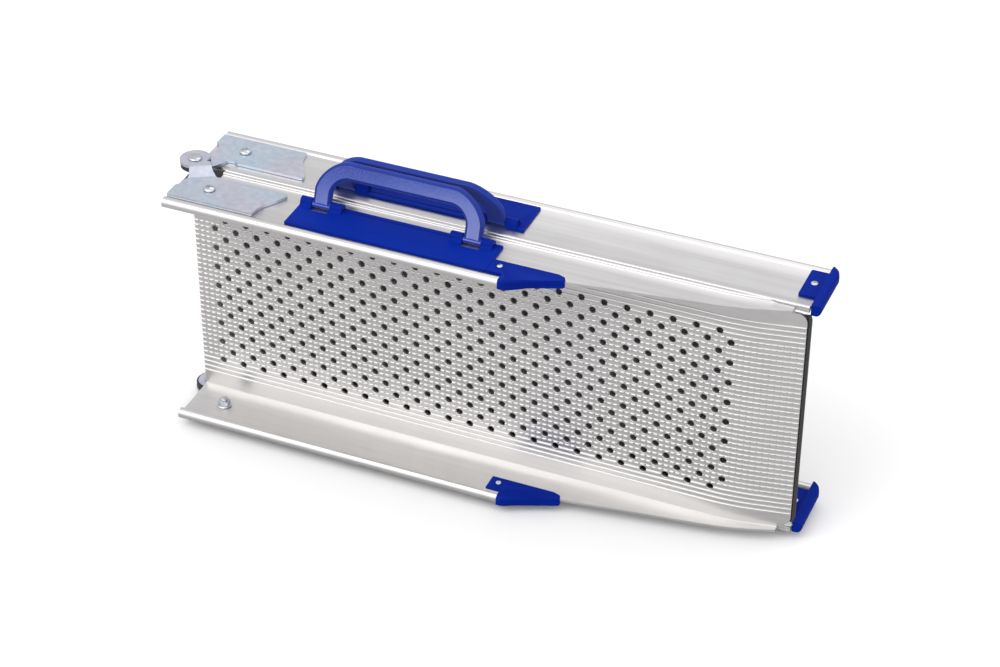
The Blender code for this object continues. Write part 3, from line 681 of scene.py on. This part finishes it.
# ---------------------------------------------------------------- plastic caps
def kerb_cap(tag, s):
    leaf = rounded([(293.2, 35.6), (350.0, 35.6), (357.2, 38.2), (357.0, 42.6), (340.0, 49.4),
                    (322.0, 57.0), (313.0, 60.0), (308.0, 60.0), (KERB_END_X + GAP, 60.0),
                    (KERB_END_X + GAP, 53.0), (293.2, 53.0)],
                   [0.8, 3.0, 3.4, 3.0, 20, 20, 6, 0.4, 0.2, 0.2, 0.8], 5)
    ob = mesh_object("kerb_end_cap_" + tag, prism_xv("upper", leaf, *sorted((s * 108.3, s * 116.15))))
    # the nose: a rounded bar, thick over the kerb bead and thin at its tip
    line = [(307.3, 52.0, 63.5), (311.0, 51.0, 63.4), (315.0, 49.2, 62.0), (320.0, 47.0, 59.3),
            (326.0, 44.8, 56.2), (333.0, 42.8, 52.9), (340.0, 41.0, 49.6), (347.0, 39.6, 46.6),
            (352.5, 38.6, 44.6), (356.0, 38.4, 43.2), (357.3, 39.4, 42.0)]
    base = [(307.3, 106.1), (311.0, 105.95), (315.0, 105.9), (320.0, 106.1), (326.0, 106.6), (333.0, 107.6),
            (340.0, 108.8), (347.0, 109.8), (352.5, 110.3), (356.0, 111.0), (357.3, 112.4)]
    bm = bmesh.new()
    rings = []
    for (x, v0, v1), (_, zb) in zip(line, base):
        zt = 116.15 if x < 356 else (116.0 if x < 357 else 115.0)
        r = min(3.2, 0.45 * (v1 - v0), 0.45 * (zt - zb))
        sec = [(v0, zt)]
        sec += [(v1 - r * 0.6 + r * 0.6 * cos(radians(a)), zt - r * 0.6 + r * 0.6 * sin(radians(a)))
                for a in (90, 67, 45, 22, 0)]
        sec += [(v1 - r + r * cos(radians(a)), zb + r + r * sin(radians(a))) for a in (0, -22, -45, -67, -90)]
        sec += [(v0, zb)]
        rings.append([bm.verts.new(W("upper", x, v, s * z)) for v, z in sec])
    for a, b in zip(rings, rings[1:]):
        for q in range(len(a)):
            k = (q + 1) % len(a)
            bm.faces.new((a[q], a[k], b[k], b[q]))
    bm.faces.new(rings[0])
    bm.faces.new(list(reversed(rings[-1])))
    bmesh.ops.recalc_face_normals(bm, faces=bm.faces)
    boolean(ob, bm, 'UNION')
    slot = [(285, 30), (365, 30), (365, kerb_line(365) + 0.35), (TAPER_X, TAPER_V + 0.35),
            (KERB_END_X + GAP - 0.1, 52.4), (KERB_END_X + GAP - 0.1, 54.5), (285, 54.5)]
    boolean(ob, prism_xv("upper", slot, *sorted((s * 110.7, s * 113.6))))
    boolean(ob, cyl(W("upper", 301.5, 43.5, s * 112), 2.3, 14))
    finish_piece(ob, "upper_half", BLUE, "kerb_cap_" + tag, bevel=0.4, seg=2, angle=38, smooth=42)
    screw("kerb_cap_screw_" + tag, "kerb_cap_rivet_" + tag, "upper", "upper_half", 301.5, 43.5, s, 116.3, 2.6)


def cross_recess(ob, centre, s, size, width, depth, turn=20.0):
    """A cross recess sunk into a screw head."""
    for q in (0, 90):
        bm = bmesh.new()
        bmesh.ops.create_cube(bm, size=1.0, matrix=Matrix.Translation(centre)
                              @ Matrix.Rotation(radians(turn + q), 4, 'Z')
                              @ Matrix.Diagonal((size * MM, width * MM, depth * MM, 1)))
        boolean(ob, bm)


def screw(name, node, half, body, x, v, s, z_seat, r):
    """A small round-head fixing with a round recess outside and a flat clinch inside."""
    prof = [(0, 107.0), (r * 0.85, 107.0), (r * 0.92, 107.25), (r * 0.92, 107.9), (2.0, 107.9),
            (2.0, z_seat), (r * 0.98, z_seat), (r, z_seat + 0.15)]
    prof += [(r * cos(radians(a)), z_seat + 0.2 + 0.95 * sin(radians(a))) for a in range(8, 90, 12)]
    prof += [(0, z_seat + 1.15)]
    p = W(half, x, v, 0)
    ob = mesh_object(name, lathe(prof, p, s, 40))
    boolean(ob, cyl(W(half, x, v, s * (z_seat + 1.2)), r * 0.36, 2.6, seg=24))
    finish_piece(ob, body, STEEL, node, smooth=40)


kerb_cap("a", 1)
kerb_cap("b", -1)


def end_cap(tag, s):
    leaf = rounded([(535.6, 15.5), (552.5, 15.5), (552.5, 52.9), (535.6, 52.9)], [0.8, 0, 0, 0.8], 4)
    ob = mesh_object("wall_end_cap_" + tag, prism_xv("lower", leaf, *sorted((s * 108.3, s * 115.7))))
    end = rounded([(LOW_X + GAP, 3.4), (558.8, 3.4), (558.8, 53.5), (556.6, 58.8), (551.6, 63.5), (LOW_X + GAP, 63.5)],
                  [0.6, 4.4, 7.0, 8.0, 1.6, 0.3], 6)
    bar = mesh_object("bar", prism_xv("lower", end, *sorted((s * 100.0, s * 120.0))))
    plan = rounded([(LOW_X + GAP - 1, s * 105.9), (558.8, s * 105.9), (558.8, s * 115.95), (LOW_X + GAP - 1, s * 115.95)],
                   [0, 4.2, 4.2, 0], 8)
    boolean(bar, prism_xz("lower", plan, -5, 70), 'INTERSECT')
    boolean(ob, bar, 'UNION')
    boolean(ob, boxm("lower", 530, LOW_X + GAP, 10, 57, *sorted((s * 110.7, s * 113.6))))
    boolean(ob, cyl(W("lower", 543.5, 34.0, s * 112), 2.3, 14))
    finish_piece(ob, "lower_half", BLUE, "end_cap_" + tag, bevel=0.5, seg=2, angle=40, smooth=42)
    screw("end_cap_screw_" + tag, "end_cap_rivet_" + tag, "lower", "lower_half", 543.5, 34.0, s, 115.85, 3.0)


end_cap("a", 1)
end_cap("b", -1)


# ---------------------------------------------------------------- hinge
PLATE_TAIL = [(X0, 37.6), (X0, REC_HI - 0.3), (80.4, REC_HI - 0.3), (81.4, 44.0), (84.0, 37.4), (91.2, 26.6),
              (95.4, 17.6), (95.4, REC_LO + 0.4), (33.0, REC_LO + 0.4)]
TAIL_R = [1.0, 1.0, 1.4, 1.6, 8, 8, 8, 3, 0.6]


def joggled_outline():
    pts = arc(0, 0, EAR_R, -40, -180, 30)
    pts += arc(0, 0, EAR_R, -180, -270, 20)[1:]
    pts += rounded([(1.6, 14.6), (4.4, 19.6), (5.3, 24.6), (4.6, 31.6)] + PLATE_TAIL
                   + [(30.6, 14.0), (27.4, 13.1), (21.4, 8.8), (17.6, 4.6), (13.4, -2.6)],
                   [4, 8, 8, 9] + TAIL_R + [1.6, 3.0, 9, 9, 6], 6)
    return pts


def flat_outline():
    pts = arc(0, 0, EAR_R_IN, -46, -180, 26)
    pts += arc(0, 0, EAR_R_IN, -180, -248, 14)[1:]
    pts += rounded([(-1.4, 13.0), (4.9, 19.2), (6.6, 26.2), (5.4, 33.4)] + PLATE_TAIL
                   + [(29.4, 15.8), (23.0, 15.2), (21.8, 9.8), (15.4, 0.6), (10.6, -5.8)],
                   [5, 6, 7, 8] + TAIL_R + [1.0, 2.2, 6, 9, 5], 6)
    return pts


def joggled_sheet(name, half, s):
    """Sheet bent across the neck so that its ear stands outside the plate."""
    z0, z1 = PLATE_Z0, PLATE_Z1
    d0, d1 = 13.4, 22.9
    sec = [(110, z0), (110, z1), (d1 + 1.0, z1), (d1, z1 + 0.12), (d1 - 0.9, z1 + 0.5),
           (d0 + 0.9, EAR_Z1 - 0.5), (d0, EAR_Z1 - 0.12), (d0 - 1.0, EAR_Z1), (-40, EAR_Z1),
           (-40, EAR_Z0), (d0 - 0.6, EAR_Z0), (d0 + 0.5, EAR_Z0 - 0.15), (d0 + 1.3, EAR_Z0 - 0.6),
           (d1 - 0.5, z0 + 0.5), (d1 + 0.4, z0 + 0.12), (d1 + 1.4, z0)]
    bm = bmesh.new()
    loops = [[bm.verts.new(W(half, d * 0.5 + t * 0.866, d * 0.866 - t * 0.5, s * z)) for d, z in sec]
             for t in (-150, 150)]
    bm.faces.new(loops[0])
    bm.faces.new(list(reversed(loops[1])))
    for i in range(len(sec)):
        k = (i + 1) % len(sec)
        bm.faces.new((loops[0][i], loops[0][k], loops[1][k], loops[1][i]))
    return mesh_object(name, bm)


def hinge_plate(half, tag, s):
    name = "%s_hinge_plate_%s" % (half, tag)
    if half == "upper":
        ob, outline = joggled_sheet(name, half, s), joggled_outline()
    else:
        ob = mesh_object(name, boxm(half, -20, 110, -20, 60, *sorted((s * PLATE_Z0, s * PLATE_Z1))))
        outline = flat_outline()
    boolean(ob, prism_xv(half, outline, *sorted((s * 100, s * 130))), 'INTERSECT')
    boolean(ob, cyl(W(half, 0, 0, s * 117), 4.1, 30))
    boolean(ob, cyl(W(half, BOLT_X, BOLT_V, s * 115), 3.3, 14))
    finish_piece(ob, half + "_half", ZINC, "hinge_plate_%s_%s" % (half, tag),
                 bevel=0.3, seg=2, angle=40)


def plate_bolt(half, tag, s):
    z = PLATE_Z1 + GAP
    prof = [(0, 103.4), (2.6, 103.4), (3.0, 103.8), (3.0, z), (5.15, z), (5.3, z + 0.2), (5.3, z + 0.7)]
    prof += [(5.3 * cos(radians(a)), z + 0.75 + 2.25 * sin(radians(a))) for a in range(10, 90, 10)]
    prof += [(0, z + 3.0)]
    ob = mesh_object("%s_plate_screw_%s" % (half, tag), lathe(prof, W(half, BOLT_X, BOLT_V, 0), s, 56))
    cross_recess(ob, W(half, BOLT_X, BOLT_V, s * (z + 2.9)), s, 5.2, 1.35, 3.4, 12 if half == "upper" else 40)
    finish_piece(ob, half + "_half", STEEL, "plate_bolt_%s_%s" % (half, tag),
                 bevel=0.12, seg=2, angle=40, smooth=40)


def plate_nut(half, tag, s):
    prof = [(3.15, 110.7), (6.3, 110.7), (6.6, 110.4), (6.6, 109.8), (6.0, 109.3), (3.15, 109.3), (3.15, 110.7)]
    p = W(half, BOLT_X, BOLT_V, 0)
    ob = mesh_object("%s_flange_nut_%s" % (half, tag), lathe(prof, p, s, 48))
    hexa = mesh_object("hex", cyl(W(half, BOLT_X, BOLT_V, s * 107.3), 5.55, 5.0, "Z", 6))
    cone = [(0, 110.5), (3.2, 110.5), (7.4, 107.6), (7.4, 106.6), (5.2, 104.8), (0, 104.8)]
    boolean(hexa, lathe(cone, p, s, 48), 'INTERSECT')
    boolean(hexa, cyl(W(half, BOLT_X, BOLT_V, s * 108), 3.15, 20))
    boolean(ob, hexa, 'UNION')
    finish_piece(ob, half + "_half", STEEL, "plate_nut_%s_%s" % (half, tag),
                 bevel=0.15, seg=2, angle=35, smooth=35)


for tag, s in (("a", 1), ("b", -1)):
    hinge_plate("upper", tag, s)
    hinge_plate("lower", tag, s)
    prof = [(0, 111.3), (5.2, 111.3), (5.8, 111.6), (6.0, 112.1), (6.0, 113.3), (4.0, 113.3),
            (4.0, EAR_Z1 + GAP), (5.9, EAR_Z1 + GAP), (6.0, EAR_Z1 + 0.5), (5.85, 122.3), (5.2, 122.8),
            (4.0, 123.15), (2.2, 123.38), (0, 123.45)]
    ob = mesh_object("fold_pivot_" + tag, lathe(prof, W("upper", 0, 0, 0), s, 56))
    finish_piece(ob, "upper_half", STEEL, "pivot_rivet_" + tag, smooth=40)
    w0, w1, wr = WASHER_Z0, WASHER_Z1, WASHER_R
    prof = [(4.1, w0), (11.8, w0), (11.8, 114.3), (wr - 0.2, 114.3), (wr, 114.5), (wr, w1 - 0.25), (wr - 0.25, w1),
            (4.1, w1), (4.1, w0)]
    ob = mesh_object("pivot_washer_ring_" + tag, lathe(prof, W("lower", 0, 0, 0), s, 96))
    gap = [(0, 0)] + [(40 * cos(radians(a)), 40 * sin(radians(a))) for a in (-52, 0, 40, 80, 117)]
    boolean(ob, prism_xv("lower", gap, *sorted((s * 112, s * w0))))
    finish_piece(ob, "lower_half", BLACK, "pivot_washer_" + tag, smooth=40)
    for half in ("upper", "lower"):
        plate_bolt(half, tag, s)
        plate_nut(half, tag, s)


# ---------------------------------------------------------------- handles
KNUCKLES = [(111.0, 121.4), (138.3, 149.3), (247.7, 258.7), (275.6, 286.0)]
LEG_OUT, LEG_IN = 76.7, 60.7
HANDLE_OUT, HANDLE_IN = 41.0, 25.5


def handle_base(half):
    lo, hi = 113.6, 115.5
    dx = SHIFT[half]
    plate = rounded([(110.6 + dx, 13.9), (292.6 + dx, 13.9), (292.6 + dx, 52.9), (110.6 + dx, 52.9)], 0.9, 4)
    ob = mesh_object("%s_handle_mount" % half, prism_xv(half, plate, lo, hi))
    for x0, x1 in KNUCKLES:
        hump = [(HANDLE_V + 7.0, lo + 0.4), (HANDLE_V + 6.9, hi + 0.15), (HANDLE_V + 5.9, hi + 0.45),
                (HANDLE_V + 4.9, hi + 0.9)]
        hump += arc(HANDLE_V, HANDLE_Z, 4.35, 12, 158, 14)
        hump += [(13.95, hi - 0.2), (13.95, lo + 0.4)]
        bump_ob = mesh_object("knuckle", prism_vz(half, hump, x0 + dx, x1 + dx))
        boolean(ob, bump_ob, 'UNION')
    for k0, k1 in ((KNUCKLES[0][1], KNUCKLES[1][0]), (KNUCKLES[2][1], KNUCKLES[3][0])):
        boolean(ob, boxm(half, k0 + dx, k1 + dx, 8, 27.5, 110, 119))
    boolean(ob, cyl(W(half, HANDLE_X + dx, HANDLE_V, HANDLE_Z), 2.1, 240, "X", 32))
    finish_piece(ob, half + "_half", BLUE, "handle_base_" + half, bevel=0.45, seg=3,
                 angle=28)


def handle(half):
    """The grip: a flat outer face, a thumb radius along the inner edge, round feet on the pin."""
    ro, ri, n = 28.0, 15.0, 18
    outer = [(LEG_OUT, 0.0), (LEG_OUT, 6.5), (LEG_OUT, HANDLE_OUT - ro)]
    outer += [(LEG_OUT - ro + ro * abs(cos(radians(a))) ** 1.22, HANDLE_OUT - ro + ro * sin(radians(a)) ** 1.22)
              for a in [90.0 * i / n for i in range(1, n + 1)]]
    inner = [(LEG_IN, 0.0), (LEG_IN, 5.2), (LEG_IN, HANDLE_IN - ri)]
    inner += [(LEG_IN - ri + ri * cos(radians(a)), HANDLE_IN - ri + ri * sin(radians(a)))
              for a in [90.0 * i / n for i in range(1, n + 1)]]
    mid = 8
    span_x = [(1 - 2 * i / mid) for i in range(1, mid)]
    outer += [((LEG_OUT - ro) * t, HANDLE_OUT) for t in span_x]
    inner += [((LEG_IN - ri) * t, HANDLE_IN) for t in span_x]
    half_n = 3 + n
    outer += [(-w, r) for w, r in reversed(outer[:half_n])]
    inner += [(-w, r) for w, r in reversed(inner[:half_n])]
    # section: s from the inner to the outer edge (0..1 of 15.5 mm), t towards the outside (mm)
    def corner(cs, ct, rs, rt, a0, a1, m):
        return [(cs + rs * cos(radians(a0 + (a1 - a0) * i / m)), ct + rt * sin(radians(a0 + (a1 - a0) * i / m)))
                for i in range(m + 1)]
    T = 3.2
    sec = []
    sec += corner(15.5 - 3.2, T - 2.4, 3.2, 2.4, 0, 90, 7)
    sec += [(11.6, T - 0.10), (10.4, T - 0.16), (5.4, T - 0.16)]
    sec += corner(3.4, T - 3.0, 3.4, 3.0, 90, 180, 7)
    sec += corner(2.0, -T + 2.0, 2.0, 2.0, 180, 270, 5)
    sec += corner(15.5 - 1.2, -T + 1.2, 1.2, 1.2, 270, 360, 4)
    bm = bmesh.new()
    side = -1 if half == "upper" else 1
    rings = []
    for (wo, ho), (wi, hi_) in zip(outer, inner):
        ring = []
        for s_, t_ in sec:
            f = s_ / 15.5
            ring.append(bm.verts.new(Vector((wi + (wo - wi) * f, side * t_, hi_ + (ho - hi_) * f)) * MM))
        rings.append(ring)
    m = len(sec)
    for a, b in zip(rings, rings[1:]):
        for i in range(m):
            bm.faces.new((a[i], a[(i + 1) % m], b[(i + 1) % m], b[i]))
    bm.faces.new(list(reversed(rings[0])))
    bm.faces.new(rings[-1])
    bmesh.ops.recalc_face_normals(bm, faces=bm.faces)
    lean = -LEAN if half == "upper" else LEAN
    dx = SHIFT[half]
    place = Matrix.Translation(W(half, HANDLE_X + dx, HANDLE_V, HANDLE_Z)) @ Matrix.Rotation(radians(lean), 4, 'X')
    bm.transform(place)
    ob = mesh_object("%s_carry_handle" % half, bm)
    for x0, x1 in ((HANDLE_X - LEG_OUT, HANDLE_X - LEG_IN), (HANDLE_X + LEG_IN, HANDLE_X + LEG_OUT)):
        c = W(half, (x0 + x1) / 2 + dx, HANDLE_V, HANDLE_Z)
        rod = mesh_object("foot", cyl(c, 3.45, x1 - x0 - 0.02, "X", 40))
        boolean(ob, rod, 'UNION')
    boolean(ob, cyl(W(half, HANDLE_X + dx, HANDLE_V, HANDLE_Z), 2.1, 240, "X", 32))
    finish_piece(ob, half + "_handle", HANDLE, "handle_" + half, bevel=0.25, seg=2,
                 angle=50, smooth=38)
    # the outer face is a paler, finely textured panel, with a painted sheen that grows towards its lower edge and its
    # +X end
    ob.data.materials.append(GRIP)
    nrm = Matrix.Rotation(radians(lean), 3, 'X') @ Vector((0, side, 0))
    for p in ob.data.polygons:
        if p.normal.dot(nrm) > 0.985:
            p.material_index = 1
    return ob


def grip_material():
    m, nt, b = nodes_of("blue_handle_face")
    vec = coords(nt, (1, 1, 1))
    broad = noise(nt, vec, 22.0, 3.0, 0.55)
    speck = noise(nt, vec, 1500.0, 2.0, 0.7)
    sep = nt.nodes.new("ShaderNodeSeparateXYZ")
    nt.links.new(vec, sep.inputs[0])
    height = span(nt, sep.outputs["Z"], 0.0, 1.0, (ZC + 118) * MM, (ZC + 154) * MM)
    along = span(nt, sep.outputs["X"], 0.0, 1.0, (HANDLE_X - 77 - MID_X) * MM, (HANDLE_X + 77 - MID_X) * MM)

    def mad(a, k, c):
        n = nt.nodes.new("ShaderNodeMath")
        n.operation = 'MULTIPLY_ADD'
        nt.links.new(a, n.inputs[0])
        n.inputs[1].default_value = k
        if isinstance(c, float):
            n.inputs[2].default_value = c
        else:
            nt.links.new(c, n.inputs[2])
        return n.outputs[0]
    # painted sheen: the face is paler towards its lower edge and towards +X, over a random broad tone
    tone_and_sheen_amount = mad(broad, 0.45, mad(along, 0.55, mad(height, -0.85, 0.55)))
    tone_and_painted_sheen = ramp(nt, span(nt, tone_and_sheen_amount, 0.0, 1.0, 0.0, 1.35),
                [(0.0, (0.006, 0.030, 0.26)), (0.25, (0.03, 0.065, 0.32)), (0.50, (0.10, 0.135, 0.40)),
                 (1.0, (0.165, 0.185, 0.43))])
    col = mix_color(nt, span(nt, speck, 0.0, 0.30, 0.42, 0.62), tone_and_painted_sheen, (0.24, 0.26, 0.55))
    nt.links.new(col, b.inputs["Base Color"])
    b.inputs["Roughness"].default_value = 0.55
    b.inputs["Specular IOR Level"].default_value = 0.3
    b.inputs["Sheen Weight"].default_value = 0.15
    b.inputs["Sheen Roughness"].default_value = 0.5
    nt.links.new(bump(nt, speck, 0.3, 0.00005), b.inputs["Normal"])
    return m


GRIP = grip_material()

for half in ("upper", "lower"):
    handle_base(half)
    handle(half)
    for i, (x0, x1) in enumerate(((111.4, 148.9), (248.1, 285.6))):
        c = W(half, (x0 + x1) / 2 + SHIFT[half], HANDLE_V, HANDLE_Z)
        bm = cyl(c, 2.0, x1 - x0, "X", 32)
        ob = mesh_object("%s_hinge_pin_%d" % (half, i + 1), bm)
        finish_piece(ob, half + "_half", STEEL, "handle_pin_%s_%d" % (half, i + 1),
                     bevel=0.25, seg=2, angle=40, smooth=40)


# ---------------------------------------------------------------- studio
def light_path(nt):
    return nt.nodes.new("ShaderNodeLightPath").outputs["Is Camera Ray"]


def studio():
    bm = bmesh.new()
    bmesh.ops.create_grid(bm, x_segments=8, y_segments=8, size=6.0)
    ob = mesh_object("studio_floor", bm)
    ob.location = (0, 0, -0.0005)
    m, nt, b = nodes_of("studio_floor_paper")
    b.inputs["Roughness"].default_value = 0.85
    n = noise(nt, coords(nt, (1, 1, 1)), 3.0, 2.0, 0.5)
    pale = ramp(nt, n, [(0.3, (0.90, 0.90, 0.90)), (0.7, (0.92, 0.92, 0.92))])
    lp = nt.nodes.new("ShaderNodeLightPath")
    seen = mix_color(nt, lp.outputs["Is Camera Ray"], (0.46, 0.455, 0.46), pale)
    nt.links.new(seen, b.inputs["Base Color"])
    ob.data.materials.append(m)

    world = bpy.data.worlds.new("studio")
    bpy.context.scene.world = world
    world.use_nodes = True
    nt = world.node_tree
    nt.nodes.clear()
    out = nt.nodes.new("ShaderNodeOutputWorld")
    bg = nt.nodes.new("ShaderNodeBackground")
    tc = nt.nodes.new("ShaderNodeTexCoord")
    sep = nt.nodes.new("ShaderNodeSeparateXYZ")
    nt.links.new(tc.outputs["Generated"], sep.inputs[0])
    # a tall bright front wall and ceiling edge, a calmer back
    sky = span(nt, sep.outputs["Z"], 0.0, 1.0, -0.02, 0.22)
    front = span(nt, sep.outputs["Y"], 0.0, 1.0, 0.30, -0.55)
    both = nt.nodes.new("ShaderNodeMath")
    both.operation = 'MULTIPLY'
    nt.links.new(sky, both.inputs[0])
    nt.links.new(front, both.inputs[1])
    col = ramp(nt, both.outputs[0], [(0.0, (0.50, 0.50, 0.51)), (0.5, (0.78, 0.78, 0.785)), (1.0, (1.0, 1.0, 1.0))])
    seen = mix_color(nt, light_path(nt), col, (0.66, 0.66, 0.66))
    nt.links.new(seen, bg.inputs["Color"])
    bg.inputs["Strength"].default_value = 1.55
    nt.links.new(bg.outputs[0], out.inputs[0])

    def area(name, loc, target, size, power, color=(1, 1, 1)):
        d = bpy.data.lights.new(name, 'AREA')
        d.shape = 'RECTANGLE'
        d.size, d.size_y = size
        d.energy = power
        d.color = color
        o = bpy.data.objects.new(name, d)
        bpy.context.scene.collection.objects.link(o)
        o.location = loc
        o.rotation_euler = (Vector(target) - Vector(loc)).to_track_quat('-Z', 'Y').to_euler()

    area("key_softbox", (-0.7, -1.3, 1.9), (0, 0, 0.12), (1.4, 1.0), 9)
    area("fill_softbox", (1.8, -0.6, 1.0), (0, 0, 0.12), (1.2, 1.2), 1.6)
    area("top_softbox", (0.1, 0.9, 1.9), (0, 0, 0.2), (1.8, 1.0), 5)


studio()

cam_data = bpy.data.cameras.new("camera")
cam = bpy.data.objects.new("camera", cam_data)
bpy.context.scene.collection.objects.link(cam)
cam_data.sensor_width = 36.0
cam_data.lens = 95.59
cam_data.clip_start, cam_data.clip_end = 0.05, 30.0
right = Vector((0.9214, 0.3886, 0.0051))
down = Vector((0.2278, -0.5293, -0.8173))
ahead = Vector((-0.3149, 0.7542, -0.5762))
rot = Matrix((right, -down, -ahead)).transposed()
cam.matrix_world = Matrix.Translation((0.71915, -1.6952, 1.4349)) @ rot.to_4x4()
bpy.context.scene.camera = cam
bpy.context.scene.view_settings.view_transform = 'Standard'
